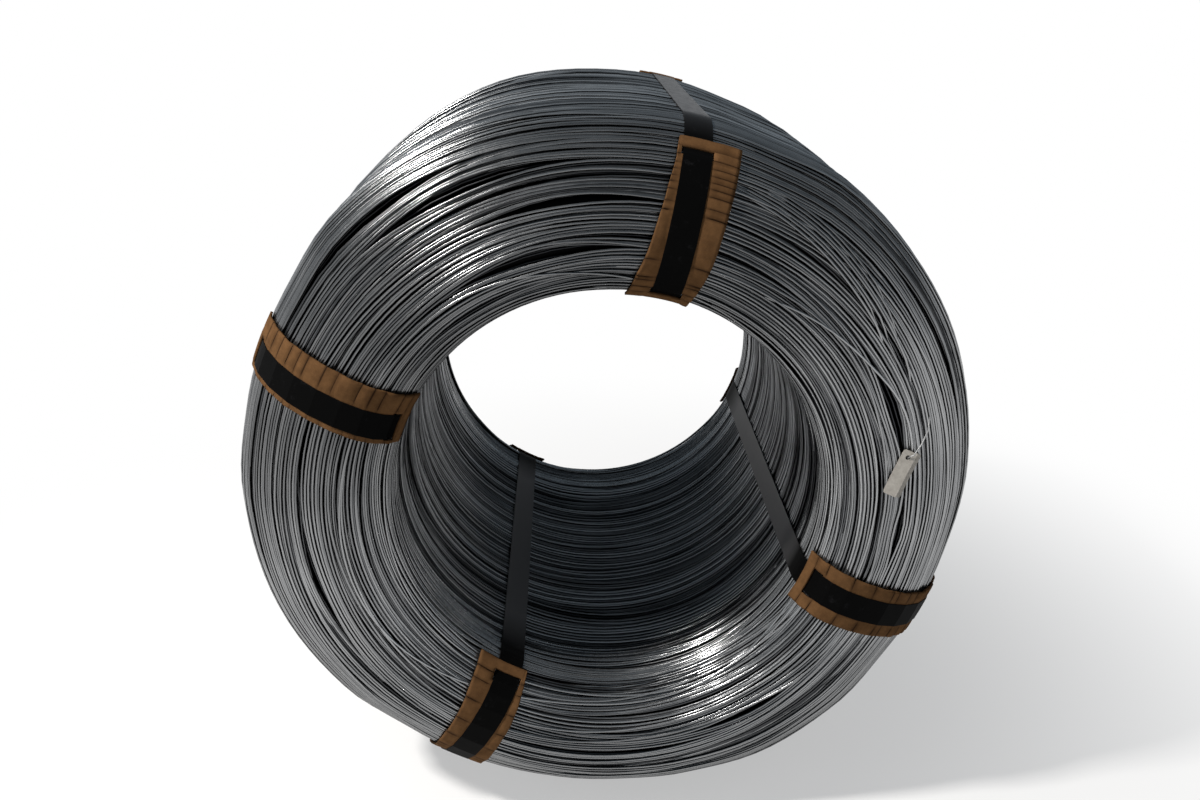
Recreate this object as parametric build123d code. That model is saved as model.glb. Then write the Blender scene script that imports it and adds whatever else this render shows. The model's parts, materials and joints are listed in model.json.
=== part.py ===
from build123d import *
import os
from math import asin, cos, degrees, pi, radians, sin

os.makedirs("parts", exist_ok=True)

# Coil of steel wire lying on its side. Axis along Y, front end at -Y, +Z up, floor at Z = 0.
coil_dia = 890.0            # over the outer turns
bore_dia = 508.0            # the eye of the coil
coil_length = 720.0         # over the two rounded ends
inner_shoulder = 58.0       # rounding of each end down into the bore
inner_row_count = 1         # bundles of turns, raised rows on each end, inside the crown row
outer_row_count = 3         # outside the crown row
wall_row_count = 7          # and along the outside of the coil
row_depth = 4.0             # valley between two rows

# Four flat steel straps, each a closed loop round the wall of the coil.
strap_width = 32.0
strap_thick = 0.8
strap_gap = 0.1             # strap over wire or card
strap_top_angle = 13.0      # clockwise from the top, seen from the front end
strap_right_angle = 113.0
strap_bottom_angle = 208.5
strap_left_angle = 293.5

# Corrugated card pads, bent over the ends, the strap threaded through two slots in each.
pad_width = 66.0
pad_thick = 3.0
pad_gap = 0.1               # card over wire
pad_inner_end = 68.0        # how far the pad wraps towards the bore, degrees round the shoulder
pad_outer_end = 78.0        # how far it wraps towards the outer turns
top_pad_outer_end = 58.0    # the front pad at the top sits further in
pad_inner_panel = 19.4      # flat panel between two creases, degrees round the inner shoulder
pad_outer_panel = 13.0      # and round the outer one
pad_inner_strip = 12.0      # end strip that lies over the strap, degrees
pad_outer_strip = 5.0
slot_length = 14.0          # along the strap
slot_side = 2.0             # beside the strap
strip_side = 1.5            # room beside the strap under an end strip
strip_gap = 0.1             # end strip over strap
left_pad_edge = 4.0         # card beside the slots of the left pad, on its narrow side
bottom_pad_edge = 7.0       # and of the bottom pad
top_pad_skew = 7.0          # degrees, turned on its strap

# Crimped seals at the back end, where the two ends of each strap lap.
lap_start = 6.0             # degrees up the outer shoulder
lap_length = 84.0
seal_length = 42.0
seal_thick = 0.8
seal_gap = 0.1

# Identification tag on the front end and the wire that ties it on.
tag_width = 28.0
tag_length = 56.0
tag_thick = 0.8
tag_corner = 2.5
tag_hole = 5.0
tag_hole_edge = 7.0         # hole to the upper edge
tag_stand = 1.9             # off the turns, the tie wire running underneath
tag_inward = 7.0            # from the valley outside the crown row, towards the bore
tag_angle = 81.5            # clockwise from the top
tag_lean = 24.0             # upper end leans clockwise, away from the bore
tie_dia = 1.2
tie_run = 34.0              # under the tag and up beyond it
tie_hook = 13.0             # turned back over the tag
tie_gap = 0.15

coil_r = coil_dia / 2
bore_r = bore_dia / 2
half_len = coil_length / 2
outer_shoulder = coil_r - bore_r - inner_shoulder   # the ends are rounded all over
crown_r = bore_r + inner_shoulder
pad_side = (pad_width - strap_width) / 2 - slot_side   # card beside the slots of a pad that lies square
left_pad_shift = pad_side - left_pad_edge           # clockwise off the middle of its strap
bottom_pad_shift = pad_side - bottom_pad_edge


def end_pt(turn, lift, side):
    """A point on a rounded end: turn is -90 at the bore, 0 on the crown and 90 at the outer turns."""
    shoulder = inner_shoulder if turn < 0 else outer_shoulder
    reach = shoulder + lift
    return (crown_r + reach * sin(radians(turn)), side * (half_len - shoulder + reach * cos(radians(turn))))


def run(start, stop, lift, side):
    """Arcs along a rounded end at one height above the turns."""
    stops = [start, stop] if start * stop >= 0 else [start, 0.0, stop]
    arcs = []
    for a, b in zip(stops, stops[1:]):
        middle = end_pt((a + b) / 2, lift, side)
        arcs.append(ThreePointArc(end_pt(a, lift, side), middle, end_pt(b, lift, side)))
    return arcs


def fold_pt(turn, lift, side):
    """A point on a sheet creased into flat panels, each touching its height at its middle."""
    shoulder = inner_shoulder if turn < 0 else outer_shoulder
    panel = pad_inner_panel if turn < 0 else pad_outer_panel
    reach = (shoulder + lift) / cos(radians(turn - round(turn / panel) * panel))
    return (crown_r + reach * sin(radians(turn)), side * (half_len - shoulder + reach * cos(radians(turn))))


def fold_run(start, stop, lift, side):
    """Straight panels along a rounded end at one height above the turns."""
    creases = [-(i + 0.5) * pad_inner_panel for i in range(int(90 / pad_inner_panel))]
    creases += [(i + 0.5) * pad_outer_panel for i in range(int(90 / pad_outer_panel))]
    stops = [start] + sorted(c for c in creases if start < c < stop) + [stop]
    return [Line(fold_pt(a, lift, side), fold_pt(b, lift, side)) for a, b in zip(stops, stops[1:])]


def fold_band(start, stop, low, high, side):
    """Section of a creased sheet that lies along a rounded end."""
    edges = fold_run(start, stop, low, side) + fold_run(start, stop, high, side)
    edges.append(Line(fold_pt(start, low, side), fold_pt(start, high, side)))
    edges.append(Line(fold_pt(stop, low, side), fold_pt(stop, high, side)))
    return make_face(edges)


def turned(section, arc):
    """Turn a section about the coil axis, half the arc to either side."""
    return Rot(0, -arc / 2, 0) * revolve(section, axis=Axis.Y, revolution_arc=arc)


def slab(width, shift=0.0, skew=0.0):
    """The strip of the coil wall that a sheet of this width covers."""
    return Pos(crown_r, 0, -shift) * Rot(0, skew, 0) * Box(4 * coil_r, 3 * coil_length, width)


def place(piece, angle):
    """Turn a piece made at +X to its clock angle, and lift it on to the floor."""
    return Pos(0, 0, coil_r) * (Rot(0, angle - 90, 0) * piece)


# The wound wire: one turned body with its bore, rows of turns on both ends and along the outside.
inner_row = 90 / (inner_row_count + 0.5)    # degrees round the shoulder, half a row on the crown
outer_row = 90 / (outer_row_count + 0.5)
wall_half = half_len - outer_shoulder
wall_row_len = 2 * wall_half / wall_row_count


def row(start, stop, side, first=-row_depth, middle=0.0):
    """One raised row on an end, a shallow arch."""
    crest = end_pt((start + stop) / 2, middle, side)
    return ThreePointArc(end_pt(start, first, side), crest, end_pt(stop, -row_depth, side))


def end_rows(side):
    """The rows of turns on one end, from the bore to the outside."""
    arcs = [row(-90, -90 + inner_row, side, 0.0, -row_depth / 4)]      # runs smoothly out of the bore
    arcs += [row(-90 + i * inner_row, -90 + (i + 1) * inner_row, side) for i in range(1, inner_row_count)]
    crown = end_pt(0, 0, side)
    arcs.append(TangentArc(crown, end_pt(-inner_row / 2, -row_depth, side), tangent=(-1, 0)))
    arcs.append(TangentArc(crown, end_pt(outer_row / 2, -row_depth, side), tangent=(1, 0)))
    arcs += [row((i + 0.5) * outer_row, (i + 1.5) * outer_row, side) for i in range(outer_row_count)]
    return arcs


def wall_rows():
    """The rows of turns along the outside."""
    arcs = []
    for i in range(wall_row_count):
        y = i * wall_row_len - wall_half
        start = (coil_r - row_depth, y)
        crest = (coil_r, y + wall_row_len / 2)
        stop = (coil_r - row_depth, y + wall_row_len)
        arcs.append(ThreePointArc(start, crest, stop))
    return arcs


coil_edges = end_rows(-1) + end_rows(1) + wall_rows()
coil_edges.append(Line(end_pt(-90, 0, -1), end_pt(-90, 0, 1)))
wire_coil = Pos(0, 0, coil_r) * revolve(make_face(coil_edges), axis=Axis.Y, revolution_arc=360)
export_step(wire_coil, "parts/wire_coil.step")

# Heights above the turns at which the sheets lie.
pad_top = pad_gap + pad_thick
strap_low = strap_gap                       # on the wire and under an end strip
strap_high = pad_top + strap_gap            # over the middle of a pad
strip_low = strap_low + strap_thick + strip_gap
strip_high = strip_low + pad_thick

# Where the strap comes out through the slots, in degrees round each shoulder.
slot_in_far = -(pad_inner_end - pad_inner_strip)
slot_in_near = slot_in_far + degrees(slot_length / inner_shoulder)
slot_out_turn = degrees(slot_length / outer_shoulder)
ease_in = degrees(1.5 / inner_shoulder)     # the strap clears the edges of the slots
ease_out = degrees(1.5 / outer_shoulder)


def strap_side(lift, side, outer_end):
    """One face of the strap over one end of the coil, on a pad that reaches to outer_end."""
    slot_out_far = outer_end - pad_outer_strip
    slot_out_near = slot_out_far - slot_out_turn
    edges = run(-90, slot_in_far + ease_in, strap_low + lift, side)
    edges += fold_run(slot_in_near - ease_in, slot_out_near + ease_out, strap_high + lift, side)
    edges += run(slot_out_far - ease_out, 90, strap_low + lift, side)
    edges.append(Line(end_pt(slot_in_far + ease_in, strap_low + lift, side),
                      fold_pt(slot_in_near - ease_in, strap_high + lift, side)))
    edges.append(Line(fold_pt(slot_out_near + ease_out, strap_high + lift, side),
                      end_pt(slot_out_far - ease_out, strap_low + lift, side)))
    return edges


def strap_face(lift, front_end):
    """The area inside one face of the strap's loop."""
    edges = strap_side(lift, -1, front_end) + strap_side(lift, 1, pad_outer_end)
    edges.append(Line(end_pt(-90, strap_low + lift, -1), end_pt(-90, strap_low + lift, 1)))
    edges.append(Line(end_pt(90, strap_low + lift, -1), end_pt(90, strap_low + lift, 1)))
    return make_face(edges)


wedge = 2 * degrees(asin(0.75 * pad_width / bore_r)) + 8    # wide enough for every sheet
lap_stop = lap_start + degrees(lap_length / outer_shoulder)
seal_mid = (lap_start + lap_stop) / 2
seal_half = degrees(seal_length / 2 / outer_shoulder)
lap_top = strap_high + 2 * strap_thick

lap = turned(fold_band(lap_start, lap_stop, strap_high, lap_top, 1), wedge)


def strap_loop(front_end):
    """A closed strap whose front pad reaches to front_end."""
    ring = turned(strap_face(strap_thick, front_end), wedge) - turned(strap_face(0.0, front_end), wedge + 2)
    return (ring + lap) & slab(strap_width)


strap = strap_loop(pad_outer_end)
top_strap = strap_loop(top_pad_outer_end)

seal_low = strap_high - seal_gap - seal_thick
seal_high = lap_top + seal_gap + seal_thick
seal_from = seal_mid - seal_half
seal_to = seal_mid + seal_half
seal_out = turned(fold_band(seal_from, seal_to, seal_low, seal_high, 1), wedge)
seal_in = turned(fold_band(seal_from - 1, seal_to + 1, strap_high - seal_gap, lap_top + seal_gap, 1), wedge)
seal = seal_out & slab(strap_width + 2 * (seal_gap + seal_thick))
seal = seal - (seal_in & slab(strap_width + 2 * seal_gap))


def pad(side, shift=0.0, skew=0.0, outer_end=pad_outer_end):
    """A card pad with its two slots and its end strips lifted over the strap."""
    slot_out_far = outer_end - pad_outer_strip
    slot_out_near = slot_out_far - slot_out_turn
    sheet = turned(fold_band(-pad_inner_end, outer_end, pad_gap, pad_top, side), wedge)
    sheet = sheet & slab(pad_width, shift, skew)
    strip_width = strap_width + 2 * strip_side
    for start, stop in ((-pad_inner_end, slot_in_far), (slot_out_far, outer_end)):
        arch = turned(fold_band(start, stop, strip_low, strip_high, side), wedge)
        sheet = sheet + (arch & slab(strip_width + 2 * pad_thick))
        under = turned(fold_band(start - 1, stop + 1, -1.0, strip_low, side), wedge)
        sheet = sheet - (under & slab(strip_width))
    for start, stop in ((slot_in_far, slot_in_near), (slot_out_near, slot_out_far)):
        opening = turned(fold_band(start, stop, -1.0, strip_high + 1, side), wedge)
        sheet = sheet - (opening & slab(strap_width + 2 * slot_side))
    if side > 0:
        pressed = turned(fold_band(seal_from - 0.2, seal_to + 0.2, seal_low - 0.1, pad_top + 1, 1), wedge)
        sheet = sheet - (pressed & slab(strap_width + 2 * (2 * seal_gap + seal_thick)))
    return sheet


front_pad_top = pad(-1, skew=top_pad_skew, outer_end=top_pad_outer_end)
front_pad_right = pad(-1)
front_pad_bottom = pad(-1, shift=bottom_pad_shift)
front_pad_left = pad(-1, shift=left_pad_shift)
back_pad = pad(1)

export_step(place(top_strap, strap_top_angle), "parts/strap_top.step")
export_step(place(strap, strap_right_angle), "parts/strap_right.step")
export_step(place(strap, strap_bottom_angle), "parts/strap_bottom.step")
export_step(place(strap, strap_left_angle), "parts/strap_left.step")
export_step(place(seal, strap_top_angle), "parts/seal_top.step")
export_step(place(seal, strap_right_angle), "parts/seal_right.step")
export_step(place(seal, strap_bottom_angle), "parts/seal_bottom.step")
export_step(place(seal, strap_left_angle), "parts/seal_left.step")
export_step(place(front_pad_top, strap_top_angle), "parts/front_pad_top.step")
export_step(place(front_pad_right, strap_right_angle), "parts/front_pad_right.step")
export_step(place(front_pad_bottom, strap_bottom_angle), "parts/front_pad_bottom.step")
export_step(place(front_pad_left, strap_left_angle), "parts/front_pad_left.step")
export_step(place(back_pad, strap_top_angle), "parts/back_pad_top.step")
export_step(place(back_pad, strap_right_angle), "parts/back_pad_right.step")
export_step(place(back_pad, strap_bottom_angle), "parts/back_pad_bottom.step")
export_step(place(back_pad, strap_left_angle), "parts/back_pad_left.step")

# The tag hangs flat on the front end by its tie wire. Made with +X up along the tag, +Z off the turns.
tag = Pos(0, 0, tag_stand) * extrude(RectangleRounded(tag_length, tag_width, tag_corner), tag_thick)
hole_x = tag_length / 2 - tag_hole_edge
tag = tag - Pos(hole_x, 0, 0) * Cylinder(tag_hole / 2, 4 * (tag_stand + tag_thick))
tie_z = tie_gap + tie_dia / 2
hook_z = tag_stand + tag_thick + tie_gap + tie_dia / 2
tie_path = Polyline((hole_x + tie_run, 0, tie_z), (hole_x, 0, tie_z), (hole_x, 0, hook_z),
                    (hole_x + tie_hook, 0, hook_z))
tie_start = Plane(origin=(hole_x + tie_run, 0, tie_z), z_dir=(-1, 0, 0))
tie = sweep(tie_start * Circle(tie_dia / 2), path=tie_path, transition=Transition.RIGHT)

# Lay both across the crown row and the next, the tag's back to the turns, leaning clockwise.
valley_x, valley_y = end_pt(outer_row / 2, -row_depth, 1)
flank_run = valley_x - crown_r
flank_drop = half_len - valley_y
flank_r = (flank_run ** 2 + flank_drop ** 2) / (2 * flank_drop)
tag_turn = outer_row / 2
tag_lift = (outer_shoulder - flank_r) * (cos(radians(tag_turn)) - 1)
tag_x, tag_y = end_pt(tag_turn, tag_lift, -1)
tag_place = Pos(0, 0, coil_r) * Rot(0, tag_angle - 90, 0) * Pos(tag_x, tag_y, 0)
tag_place = tag_place * Rot(0, 0, tag_turn) * Pos(-tag_inward, 0, 0)
lay_flat = Rot(90, 0, 0) * Rot(0, 0, 90 - tag_lean)
export_step(tag_place * (lay_flat * tag), "parts/id_tag.step")
export_step(tag_place * (lay_flat * tie), "parts/tag_tie.step")
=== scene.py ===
# %% [markdown]
# A strapped coil of steel wire, lying on its side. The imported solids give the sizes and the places.
# Here the plain turned body becomes wound wire, and the straps, pads and tag get their real surfaces.

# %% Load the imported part
import json
import math
import bmesh
import bpy
import numpy as np
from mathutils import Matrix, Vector


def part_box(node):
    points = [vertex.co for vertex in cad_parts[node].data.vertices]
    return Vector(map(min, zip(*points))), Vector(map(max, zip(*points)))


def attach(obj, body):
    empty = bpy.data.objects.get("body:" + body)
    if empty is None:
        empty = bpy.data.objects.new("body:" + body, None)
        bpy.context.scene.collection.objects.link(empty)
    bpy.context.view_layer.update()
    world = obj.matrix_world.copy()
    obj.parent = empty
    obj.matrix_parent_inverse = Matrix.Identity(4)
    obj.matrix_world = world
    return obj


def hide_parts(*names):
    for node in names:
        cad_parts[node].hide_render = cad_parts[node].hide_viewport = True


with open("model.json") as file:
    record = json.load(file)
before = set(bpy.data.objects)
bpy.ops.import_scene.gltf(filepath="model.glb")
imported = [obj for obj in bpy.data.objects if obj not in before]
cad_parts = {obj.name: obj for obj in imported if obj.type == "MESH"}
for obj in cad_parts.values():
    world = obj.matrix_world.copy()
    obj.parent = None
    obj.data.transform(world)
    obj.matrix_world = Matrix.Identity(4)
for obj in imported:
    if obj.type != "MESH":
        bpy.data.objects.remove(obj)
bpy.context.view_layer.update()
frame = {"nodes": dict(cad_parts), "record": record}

print("solids:", sorted(frame["nodes"]))

# %% [markdown]
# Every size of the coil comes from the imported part: the box of the wound body, and the radius of its
# bore. The rounding of the ends and the clock angles of the straps are ones that a box can't tell,
# so they are written here as they are in the part. Clock angles are in degrees, clockwise from the
# top as seen from the front. The wire is 3.2 mm thick.

# %% Sizes of the coil
low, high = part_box("wire_coil")
coil_r = (high[0] - low[0]) / 2
half_len = (high[1] - low[1]) / 2
axis_z = (high[2] + low[2]) / 2
bore_r = frame["record"]["mounts"][0]["dims"]["r_mm"] / 1000
inner_shoulder = 0.058
outer_shoulder = coil_r - bore_r - inner_shoulder
crown_r = bore_r + inner_shoulder
wire_d = 0.0032
strap_angles = {"top": 13.0, "right": 113.0, "bottom": 208.5, "left": 293.5}
print("coil", round(coil_r, 4), "bore", bore_r, "half length", round(half_len, 4))

# %% [markdown]
# The camera stands above the front end and looks down about 21 degrees, near enough that the front
# of the coil looks clearly larger than the back. A focal length of 33.6 mm on a 36 mm sensor gives
# that perspective, and the small shift puts the coil where it stands in the picture.

# %% Camera
scene = bpy.context.scene
middle = Vector((0, 0, axis_z))
picture_wide, focal_wide, sensor = 1200, 1120, 36.0
camera_away = 1.6223
tilt, swing = math.radians(21.36), math.radians(-1.67)


def put(name, data):
    """A new object in the scene, at the origin."""
    ob = bpy.data.objects.new(name, data)
    scene.collection.objects.link(ob)
    return ob


camera = put("camera", bpy.data.cameras.new("camera"))
camera.data.sensor_width = sensor
camera.data.lens = focal_wide / picture_wide * sensor
back = Vector((math.sin(swing) * math.cos(tilt), -math.cos(swing) * math.cos(tilt), math.sin(tilt)))
camera.location = middle + camera_away * back
camera.rotation_euler = back.to_track_quat("Z", "Y").to_euler()
camera.data.shift_x = -1.03 / picture_wide
camera.data.shift_y = 1.77 / picture_wide
scene.camera = camera
scene.view_settings.view_transform = "Standard"
print("camera at", [round(v, 3) for v in camera.location])

# %% [markdown]
# Node trees are easier to read when a node and what goes into it are on one line, so a few small
# helpers come first. They serve the floor and every finish below. The first two start a tree and add
# any node to it. The others add one kind of node, and give back the socket that the next node takes.

# %% Helper that adds a node
def node_tree(owner):
    """An empty node tree on a material or a world."""
    owner.use_nodes = True
    owner.node_tree.nodes.clear()
    return owner.node_tree


def add(tree, kind, inputs=None, **settings):
    """A node with its settings, and with numbers or links on its named inputs."""
    n = tree.nodes.new(kind)
    for key, value in settings.items():
        setattr(n, key, value)
    for key, value in (inputs or {}).items():
        if isinstance(value, bpy.types.NodeSocket):
            tree.links.new(value, n.inputs[key])
        else:
            n.inputs[key].default_value = value
    return n


print("nodes can be added")

# %% Helpers for numbers, colours and patterns
def maths(tree, operation, *values):
    """One step of arithmetic on numbers."""
    return add(tree, "ShaderNodeMath", dict(enumerate(values)), operation=operation).outputs[0]


def vector_maths(tree, operation, *values):
    """One step of arithmetic on places or directions."""
    n = add(tree, "ShaderNodeVectorMath", dict(enumerate(values)), operation=operation)
    return n.outputs["Value" if operation == "LENGTH" else "Vector"]


def ramp(tree, value, low=0.0, high=1.0, start=0.0, stop=1.0, soft=False):
    """A number that goes from start to stop while the value goes from low to high."""
    numbers = {"Value": value, "From Min": low, "From Max": high, "To Min": start, "To Max": stop}
    kind = "SMOOTHSTEP" if soft else "LINEAR"
    return add(tree, "ShaderNodeMapRange", numbers, interpolation_type=kind).outputs[0]


def mix(tree, share, first, second, kind="MIX"):
    """Two colours mixed by a share, or one times the other."""
    colours = {"Fac": share, "Color1": first, "Color2": second}
    return add(tree, "ShaderNodeMixRGB", colours, blend_type=kind).outputs[0]


def noise(tree, place, scale, detail, roughness=0.5):
    """Soft random spots, from 0 to 1."""
    numbers = {"Vector": place, "Scale": scale, "Detail": detail, "Roughness": roughness}
    return add(tree, "ShaderNodeTexNoise", numbers).outputs["Fac"]


def own_place(tree):
    """The place on the piece, in metres."""
    return add(tree, "ShaderNodeTexCoord").outputs["Object"]


print("numbers, colours and patterns")

# %% Helpers for surfaces and rays
def surface(tree, inputs):
    """The shader of a material."""
    shader = add(tree, "ShaderNodeBsdfPrincipled", inputs)
    add(tree, "ShaderNodeOutputMaterial", {"Surface": shader.outputs[0]})


def seen_rays(tree):
    """1 for rays from the camera and for mirror-like or see-through rays, 0 for the rest."""
    rays = add(tree, "ShaderNodeLightPath").outputs
    seen = maths(tree, "MAXIMUM", rays["Is Camera Ray"], rays["Is Glossy Ray"])
    return maths(tree, "MAXIMUM", seen, rays["Is Transmission Ray"])


print("surfaces and rays")

# %% [markdown]
# A plain pale floor, a disc far wider than the picture. Near the coil it is lit by the lamp and takes
# the shadow. Further out it turns to plain white, so that no edge and no horizon shows. The world that
# the eye and the shining wire see is white round the horizon and grey-blue overhead, as under open sky.
# It lights dull surfaces only gently, so that the shadows between the turns stay dark.

# %% Floor and world
def mesh_from(bm, name):
    """The mesh that a bmesh has built up."""
    mesh = bpy.data.meshes.new(name)
    bm.to_mesh(mesh)
    bm.free()
    return mesh


bm = bmesh.new()
bmesh.ops.create_circle(bm, cap_ends=True, segments=128, radius=60.0)
floor_mesh = mesh_from(bm, "floor")
floor = put("floor", floor_mesh)
pale = bpy.data.materials.new("pale_floor")
tree = node_tree(pale)
lit = add(tree, "ShaderNodeBsdfDiffuse", {"Color": (0.84, 0.84, 0.84, 1)})
white = add(tree, "ShaderNodeEmission", {"Color": (1, 1, 1, 1), "Strength": 1.0})
reach = vector_maths(tree, "LENGTH", own_place(tree))
fade = ramp(tree, reach, low=0.4, high=1.4, start=0.45, soft=True)
fade = maths(tree, "MULTIPLY", fade, seen_rays(tree))
look = add(tree, "ShaderNodeMixShader", {0: fade, 1: lit.outputs[0], 2: white.outputs[0]})
add(tree, "ShaderNodeOutputMaterial", {"Surface": look.outputs[0]})
floor_mesh.materials.append(pale)

world = bpy.data.worlds.new("studio")
scene.world = world
tree = node_tree(world)
gentle = add(tree, "ShaderNodeBackground", {"Color": (0.90, 0.95, 1.0, 1), "Strength": 0.28})
way = add(tree, "ShaderNodeSeparateXYZ", {0: add(tree, "ShaderNodeTexCoord").outputs["Generated"]})
overhead = ramp(tree, way.outputs["Z"], low=-0.02, high=0.34, soft=True)
shades = mix(tree, overhead, (0.97, 0.985, 1.0, 1), (0.19, 0.235, 0.275, 1))
seen = add(tree, "ShaderNodeBackground", {"Color": shades, "Strength": 1.0})
look = add(tree, "ShaderNodeMixShader", {0: seen_rays(tree), 1: gentle.outputs[0], 2: seen.outputs[0]})
add(tree, "ShaderNodeOutputWorld", {"Surface": look.outputs[0]})
print("floor and world")

# %% [markdown]
# The real coil lay in the open with light from high on the left. A small hard lamp stands there, a
# little in front of the coil. Wire shines where it runs square to both the lamp and the eye, so this
# one lamp makes both bright patches: upper left on the outside, lower right inside the rim.

# %% Lamp
lamp = put("lamp_high_left", bpy.data.lights.new("lamp_high_left", "AREA"))
lamp.data.size = 0.35
lamp.data.energy = 185
lamp.data.color = (1.0, 0.97, 0.93)
lamp.location = (-2.2, -1.00, 3.2)
lamp.rotation_euler = (Vector(lamp.location) - middle).to_track_quat("Z", "Y").to_euler()
print(lamp.name, lamp.data.energy, "W")

# %% [markdown]
# The wound wire. On the real coil several hundred turns show, each about 3 mm thick, laid in
# bundles that wander, cross at flat angles and leave dark gaps. A bump map would look flat at the
# rim, so the turns that show are real rings. They are many and alike, so they are made as arrays:
# every turn is a closed line round the coil, and one call makes a tube mesh of all of them.
# A place on the coil is given by how far it is along the section, starting in the middle of the bore.
# The four stops are that middle and the ends of the bore, the inner shoulder and the outer shoulder.

# %% The section of the coil
inner_arc = inner_shoulder * math.pi / 2
outer_arc = outer_shoulder * math.pi / 2
bore_half = half_len - inner_shoulder
wall_half = half_len - outer_shoulder
stops = np.cumsum([0, bore_half, inner_arc, outer_arc])
section_len = 2 * (stops[3] + wall_half)


def section(along):
    """Radius, y and outward direction on the coil's section, for distances along it."""
    s = np.mod(along, section_len)
    side = np.where(s > section_len / 2, 1.0, -1.0)
    s = np.where(side > 0, section_len - s, s)
    a, b = (s - stops[1]) / inner_shoulder, (s - stops[2]) / outer_shoulder
    part = [s < stops[1], s < stops[2], s < stops[3]]
    rho = np.select(part, [bore_r, crown_r - inner_shoulder * np.cos(a), crown_r + outer_shoulder * np.sin(b)],
                    coil_r)
    y = np.select(part, [s, bore_half + inner_shoulder * np.sin(a), wall_half + outer_shoulder * np.cos(b)],
                  wall_half + stops[3] - s)
    out = np.select(part, [-1.0, -np.cos(a), np.sin(b)], 1.0)
    end = np.select(part, [0.0, np.sin(a), np.cos(b)], 0.0)
    return rho, side * y, out, side * end


print("section", round(section_len, 3), "m round")

# %% [markdown]
# The straps pull the coil in, and between them it swells by about a centimetre, which makes its
# outline slightly four-cornered. On the floor it is pressed flat. A few numbers round the clock
# give that swelling, in degrees and millimetres, and a smooth step joins each to the next.

# %% How the coil swells between the straps
swell_at = np.radians([3, 13, 23, 38, 62, 88, 103, 113, 123, 136, 152, 166, 178, 198, 208.5, 218, 230, 246, 268,
                       283, 293.5, 303, 316, 338, 363])
swell_by = np.array([0, 0, 0, 9, 8, 4, 0, 0, 0, 6, 10, 4, 0, 0, 0, 0, 7, 9, 5, 0, 0, 0, 7, 7, 0]) / 1000
strap_grip, grip_fade = 10, 14


def swell(phi, out):
    """How far the turns stand proud of the solid, at a clock angle and for an outward direction."""
    p = np.mod(phi - swell_at[0], 2 * math.pi) + swell_at[0]
    k = np.clip(np.searchsorted(swell_at, p) - 1, 0, len(swell_at) - 2)
    t = (p - swell_at[k]) / (swell_at[k + 1] - swell_at[k])
    ease = t * t * (3 - 2 * t)
    return (swell_by[k] * (1 - ease) + swell_by[k + 1] * ease) * np.clip(out, 0, 1) ** 1.5


def turn_from(phi, angle):
    """The turn from one clock angle to another, the short way round."""
    return np.angle(np.exp(1j * (phi - math.radians(angle))))


def between_straps(phi):
    """0 under the straps and pads, 1 in the open between them."""
    nearest = np.min([np.abs(turn_from(phi, a)) for a in strap_angles.values()], axis=0)
    t = np.clip((np.degrees(nearest) - strap_grip) / grip_fade, 0, 1)
    return t * t * (3 - 2 * t)


print("swells by up to", round(swell_by.max() * 1000, 1), "mm")

# %% [markdown]
# Turns were laid a few at a time, so they lie in bundles that sway together. Each bundle gets its own
# slow wave along the section and its own depth, and each wire in it a small wave more. Where two
# bundles part, the dark inside shows; where they meet, one passes under the other. The waves come
# from a random generator with a fixed seed, so the coil is the same on every run.

# %% Bundles of turns
rng = np.random.default_rng(11)
wire_sway = 0.0007
bundle_tone, wire_tone = 0.35, 0.65


def waves(phi, size, count):
    """Smooth random curves round the coil, one row each, with less of the shorter waves."""
    order = np.arange(1, 6)
    height = rng.normal(size=(count, len(order))) * size / order ** 1.1
    phase = rng.uniform(0, 2 * math.pi, (count, len(order)))
    return (height[:, :, None] * np.cos(order[None, :, None] * phi + phase[:, :, None])).sum(1)


def bundles(first, last, cover, wander, dip, steps, depth=0.0, close=1.15, wide=1.9, uneven=0.0009):
    """Lines of turns between two distances along the section, gathered in wandering bundles of 2 to 6.

    cover is how much the bundles lap, wander how far they sway, dip how far they sink, depth the
    layer, close and wide the distance from wire to wire in wires, uneven how much single wires sink."""
    phi = np.linspace(0, 2 * math.pi, steps, endpoint=False)
    along, down, tone = [], [], []
    place = first
    while place < last:
        n = int(rng.integers(2, 7))
        pitch = wire_d * rng.uniform(close, wide)
        path = place + n * pitch / 2 + waves(phi, wander, 1)[0]
        sink = depth + np.clip(waves(phi, dip * rng.uniform(0.3, 1.5), 1)[0], 0, None)
        shade = rng.uniform(0, 1)
        own, lift = waves(phi, wire_sway, n), np.abs(waves(phi, uneven, n))
        for j in range(n):
            along.append(path + (j - (n - 1) / 2) * pitch + own[j])
            down.append(sink + lift[j])
            tone.append(bundle_tone * shade + wire_tone * rng.uniform(0, 1))
        place += n * pitch / cover
    return phi, np.array(along), np.array(down), np.array(tone)


print("bundles of 2 to 6 turns")

# %% [markdown]
# A few gaps are large enough to see from across a room. Each is given by its place along the
# section, its clock angle, how wide it opens and how long it is, and the turns step aside for it.
# The first rows are on the front end, the next on the back end, and the last on the outside.

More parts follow.
